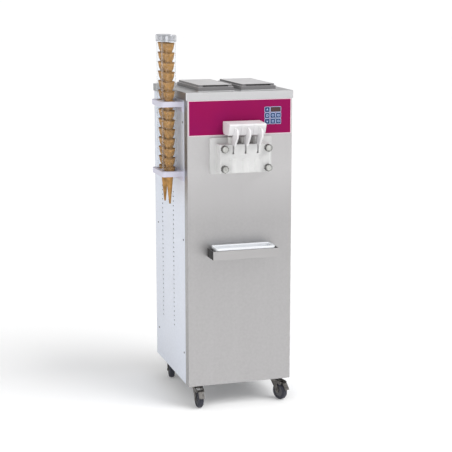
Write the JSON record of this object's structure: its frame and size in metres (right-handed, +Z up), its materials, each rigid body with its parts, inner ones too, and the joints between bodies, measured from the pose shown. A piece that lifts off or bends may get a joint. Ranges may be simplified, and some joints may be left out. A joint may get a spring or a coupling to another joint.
{
  "type": "soft serve machine",
  "caption": "Floor-standing soft serve machine on casters with pull levers, lift-off hopper lids, a drip tray and a side cone dispenser.",
  "frame": {"origin": "middle of the whole footprint, on the floor", "axes": "+Z up, -Y towards the customer side with the dispensing head, +X to the right seen from the front"},
  "size_m": [0.608, 0.748, 1.734],
  "materials": {
    "box_grey": "moulded",
    "cap_clear": "frosted",
    "clear_tube": "clear acrylic",
    "coil_alloy": "finned",
    "copper": "drawn copper",
    "dark_steel": "satin",
    "display_red": "gloss",
    "food_white": "satin",
    "frame_grey": "matte",
    "key_blue": "satin",
    "knob_metal": "turned",
    "lid_grey": "matte",
    "magenta_film": "satin print",
    "panel_white": "semi-gloss powder coat",
    "rack_white": "satin",
    "seal_black": "matte",
    "stainless": "satin",
    "steel_brushed": "brushed",
    "steel_top": "satin",
    "tray_white": "gloss",
    "tyre": "matte",
    "wafer": "baked wafer",
    "zinc": "zinc plated"
  },
  "bodies": {
    "cabinet": {"frame": "frame_grey", "front_panel": "steel_brushed", "left_panel": "panel_white", "right_panel": "panel_white", "rear_panel": "steel_brushed", "top_plate": "steel_top", "panel_screws": "zinc", "control_overlay": "magenta_film", "display_window": "display_red", "hoppers": "stainless", "feed_tubes": "food_white", "barrels": "stainless", "gearmotors": "dark_steel", "compressor": "dark_steel", "condenser": "coil_alloy", "refrigerant_pipes": "copper", "electrical_box": "box_grey", "dispensing_head": "food_white", "head_orings": "seal_black", "lever_pin": "stainless", "tray_holder": "steel_brushed", "cone_rack": "rack_white", "cone_tubes": "clear_tube", "cones": "wafer", "caster_plates": "dark_steel"},
    "key_1": {"key_1": "key_blue"},
    "key_2": {"key_2": "key_blue"},
    "key_3": {"key_3": "key_blue"},
    "key_4": {"key_4": "key_blue"},
    "key_5": {"key_5": "key_blue"},
    "key_6": {"key_6": "key_blue"},
    "key_7": {"key_7": "key_blue"},
    "lid_left": {"lid_left": "lid_grey"},
    "lid_right": {"lid_right": "lid_grey"},
    "dasher_left": {"dasher_left": "stainless"},
    "dasher_right": {"dasher_right": "stainless"},
    "fan": {"fan": "food_white"},
    "lever_left": {"lever_left": "food_white"},
    "lever_centre": {"lever_centre": "food_white"},
    "lever_right": {"lever_right": "food_white"},
    "piston_left": {"piston_left": "food_white"},
    "piston_centre": {"piston_centre": "food_white"},
    "piston_right": {"piston_right": "food_white"},
    "knob_tl": {"knob_tl": "knob_metal"},
    "knob_tr": {"knob_tr": "knob_metal"},
    "knob_bl": {"knob_bl": "knob_metal"},
    "knob_br": {"knob_br": "knob_metal"},
    "drip_tray": {"drip_tray": "tray_white"},
    "cap_front": {"cap_front": "cap_clear"},
    "cap_rear": {"cap_rear": "cap_clear"},
    "fork_fl": {"fork_fl": "zinc"},
    "fork_fr": {"fork_fr": "zinc"},
    "fork_rl": {"fork_rl": "zinc"},
    "fork_rr": {"fork_rr": "zinc"},
    "wheel_fl": {"wheel_fl": "tyre"},
    "wheel_fr": {"wheel_fr": "tyre"},
    "wheel_rl": {"wheel_rl": "tyre"},
    "wheel_rr": {"wheel_rr": "tyre"},
    "pedal_fl": {"pedal_fl": "zinc"},
    "pedal_fr": {"pedal_fr": "zinc"}
  },
  "joints": [
    {"name": "key_1_press", "type": "slide", "parent": "cabinet", "child": "key_1", "axis": [0, 1, 0], "range_m": [0, 0.0008], "stiffness_N_per_m": 800},
    {"name": "key_2_press", "type": "slide", "parent": "cabinet", "child": "key_2", "axis": [0, 1, 0], "range_m": [0, 0.0008], "stiffness_N_per_m": 800},
    {"name": "key_3_press", "type": "slide", "parent": "cabinet", "child": "key_3", "axis": [0, 1, 0], "range_m": [0, 0.0008], "stiffness_N_per_m": 800},
    {"name": "key_4_press", "type": "slide", "parent": "cabinet", "child": "key_4", "axis": [0, 1, 0], "range_m": [0, 0.0008], "stiffness_N_per_m": 800},
    {"name": "key_5_press", "type": "slide", "parent": "cabinet", "child": "key_5", "axis": [0, 1, 0], "range_m": [0, 0.0008], "stiffness_N_per_m": 800},
    {"name": "key_6_press", "type": "slide", "parent": "cabinet", "child": "key_6", "axis": [0, 1, 0], "range_m": [0, 0.0008], "stiffness_N_per_m": 800},
    {"name": "key_7_press", "type": "slide", "parent": "cabinet", "child": "key_7", "axis": [0, 1, 0], "range_m": [0, 0.0008], "stiffness_N_per_m": 800},
    {"name": "lid_left_lift", "type": "slide", "parent": "cabinet", "child": "lid_left", "axis": [0, 0, 1], "range_m": [0, 0.2]},
    {"name": "lid_right_lift", "type": "slide", "parent": "cabinet", "child": "lid_right", "axis": [0, 0, 1], "range_m": [0, 0.2]},
    {"name": "dasher_left_spin", "type": "hinge", "parent": "cabinet", "child": "dasher_left", "pos_m": [-0.014, -0.226, 1.187], "axis": [0, 1, 0], "continuous": true},
    {"name": "dasher_right_spin", "type": "hinge", "parent": "cabinet", "child": "dasher_right", "pos_m": [0.11, -0.226, 1.187], "axis": [0, 1, 0], "continuous": true},
    {"name": "fan_spin", "type": "hinge", "parent": "cabinet", "child": "fan", "pos_m": [0.048, -0.226, 0.33], "axis": [0, 1, 0], "continuous": true},
    {"name": "lever_left_pull", "type": "hinge", "parent": "cabinet", "child": "lever_left", "pos_m": [-0.01, -0.286, 1.218], "axis": [1, 0, 0], "range_deg": [0, 45]},
    {"name": "lever_centre_pull", "type": "hinge", "parent": "cabinet", "child": "lever_centre", "pos_m": [0.048, -0.286, 1.218], "axis": [1, 0, 0], "range_deg": [0, 45]},
    {"name": "lever_right_pull", "type": "hinge", "parent": "cabinet", "child": "lever_right", "pos_m": [0.106, -0.286, 1.218], "axis": [1, 0, 0], "range_deg": [0, 45]},
    {"name": "piston_left_slide", "type": "slide", "parent": "cabinet", "child": "piston_left", "axis": [0, 0, 1], "range_m": [0, 0.0152]},
    {"name": "piston_centre_slide", "type": "slide", "parent": "cabinet", "child": "piston_centre", "axis": [0, 0, 1], "range_m": [0, 0.0152]},
    {"name": "piston_right_slide", "type": "slide", "parent": "cabinet", "child": "piston_right", "axis": [0, 0, 1], "range_m": [0, 0.0152]},
    {"name": "knob_tl_turn", "type": "hinge", "parent": "cabinet", "child": "knob_tl", "pos_m": [-0.055, -0.226, 1.232], "axis": [0, 1, 0], "continuous": true},
    {"name": "knob_tr_turn", "type": "hinge", "parent": "cabinet", "child": "knob_tr", "pos_m": [0.151, -0.226, 1.232], "axis": [0, 1, 0], "continuous": true},
    {"name": "knob_bl_turn", "type": "hinge", "parent": "cabinet", "child": "knob_bl", "pos_m": [-0.055, -0.226, 1.142], "axis": [0, 1, 0], "continuous": true},
    {"name": "knob_br_turn", "type": "hinge", "parent": "cabinet", "child": "knob_br", "pos_m": [0.151, -0.226, 1.142], "axis": [0, 1, 0], "continuous": true},
    {"name": "drip_tray_lift", "type": "slide", "parent": "cabinet", "child": "drip_tray", "axis": [0, 0, 1], "range_m": [0, 0.06]},
    {"name": "cap_front_lift", "type": "slide", "parent": "cabinet", "child": "cap_front", "axis": [0, 0, 1], "range_m": [0, 0.12]},
    {"name": "cap_rear_lift", "type": "slide", "parent": "cabinet", "child": "cap_rear", "axis": [0, 0, 1], "range_m": [0, 0.12]},
    {"name": "fork_fl_swivel", "type": "hinge", "parent": "cabinet", "child": "fork_fl", "pos_m": [-0.148, -0.176, 0.095], "axis": [0, 0, 1], "continuous": true},
    {"name": "fork_fr_swivel", "type": "hinge", "parent": "cabinet", "child": "fork_fr", "pos_m": [0.244, -0.176, 0.095], "axis": [0, 0, 1], "continuous": true},
    {"name": "fork_rl_swivel", "type": "hinge", "parent": "cabinet", "child": "fork_rl", "pos_m": [-0.148, 0.314, 0.095], "axis": [0, 0, 1], "continuous": true},
    {"name": "fork_rr_swivel", "type": "hinge", "parent": "cabinet", "child": "fork_rr", "pos_m": [0.244, 0.314, 0.095], "axis": [0, 0, 1], "continuous": true},
    {"name": "wheel_fl_spin", "type": "hinge", "parent": "fork_fl", "child": "wheel_fl", "pos_m": [-0.148, -0.208, 0.04], "axis": [1, 0, 0], "continuous": true},
    {"name": "wheel_fr_spin", "type": "hinge", "parent": "fork_fr", "child": "wheel_fr", "pos_m": [0.25702, -0.20523, 0.04], "axis": [0.9135, 0.4067, 0], "continuous": true},
    {"name": "wheel_rl_spin", "type": "hinge", "parent": "fork_rl", "child": "wheel_rl", "pos_m": [-0.15245, 0.28231, 0.04], "axis": [0.9903, -0.1392, 0], "continuous": true},
    {"name": "wheel_rr_spin", "type": "hinge", "parent": "fork_rr", "child": "wheel_rr", "pos_m": [0.25065, 0.2827, 0.04], "axis": [0.9781, 0.2079, 0], "continuous": true},
    {"name": "pedal_fl_press", "type": "hinge", "parent": "fork_fl", "child": "pedal_fl", "pos_m": [-0.148, -0.228, 0.084], "axis": [1, 0, 0], "range_deg": [0, 14]},
    {"name": "pedal_fr_press", "type": "hinge", "parent": "fork_fr", "child": "pedal_fr", "pos_m": [0.26515, -0.2235, 0.084], "axis": [0.9135, 0.4067, 0], "range_deg": [0, 14]}
  ],
  "couplings": [
    {"joint": "piston_left_slide", "follows": "lever_left_pull", "m_per_rad": 0.019},
    {"joint": "piston_centre_slide", "follows": "lever_centre_pull", "m_per_rad": 0.019},
    {"joint": "piston_right_slide", "follows": "lever_right_pull", "m_per_rad": 0.019}
  ]
}
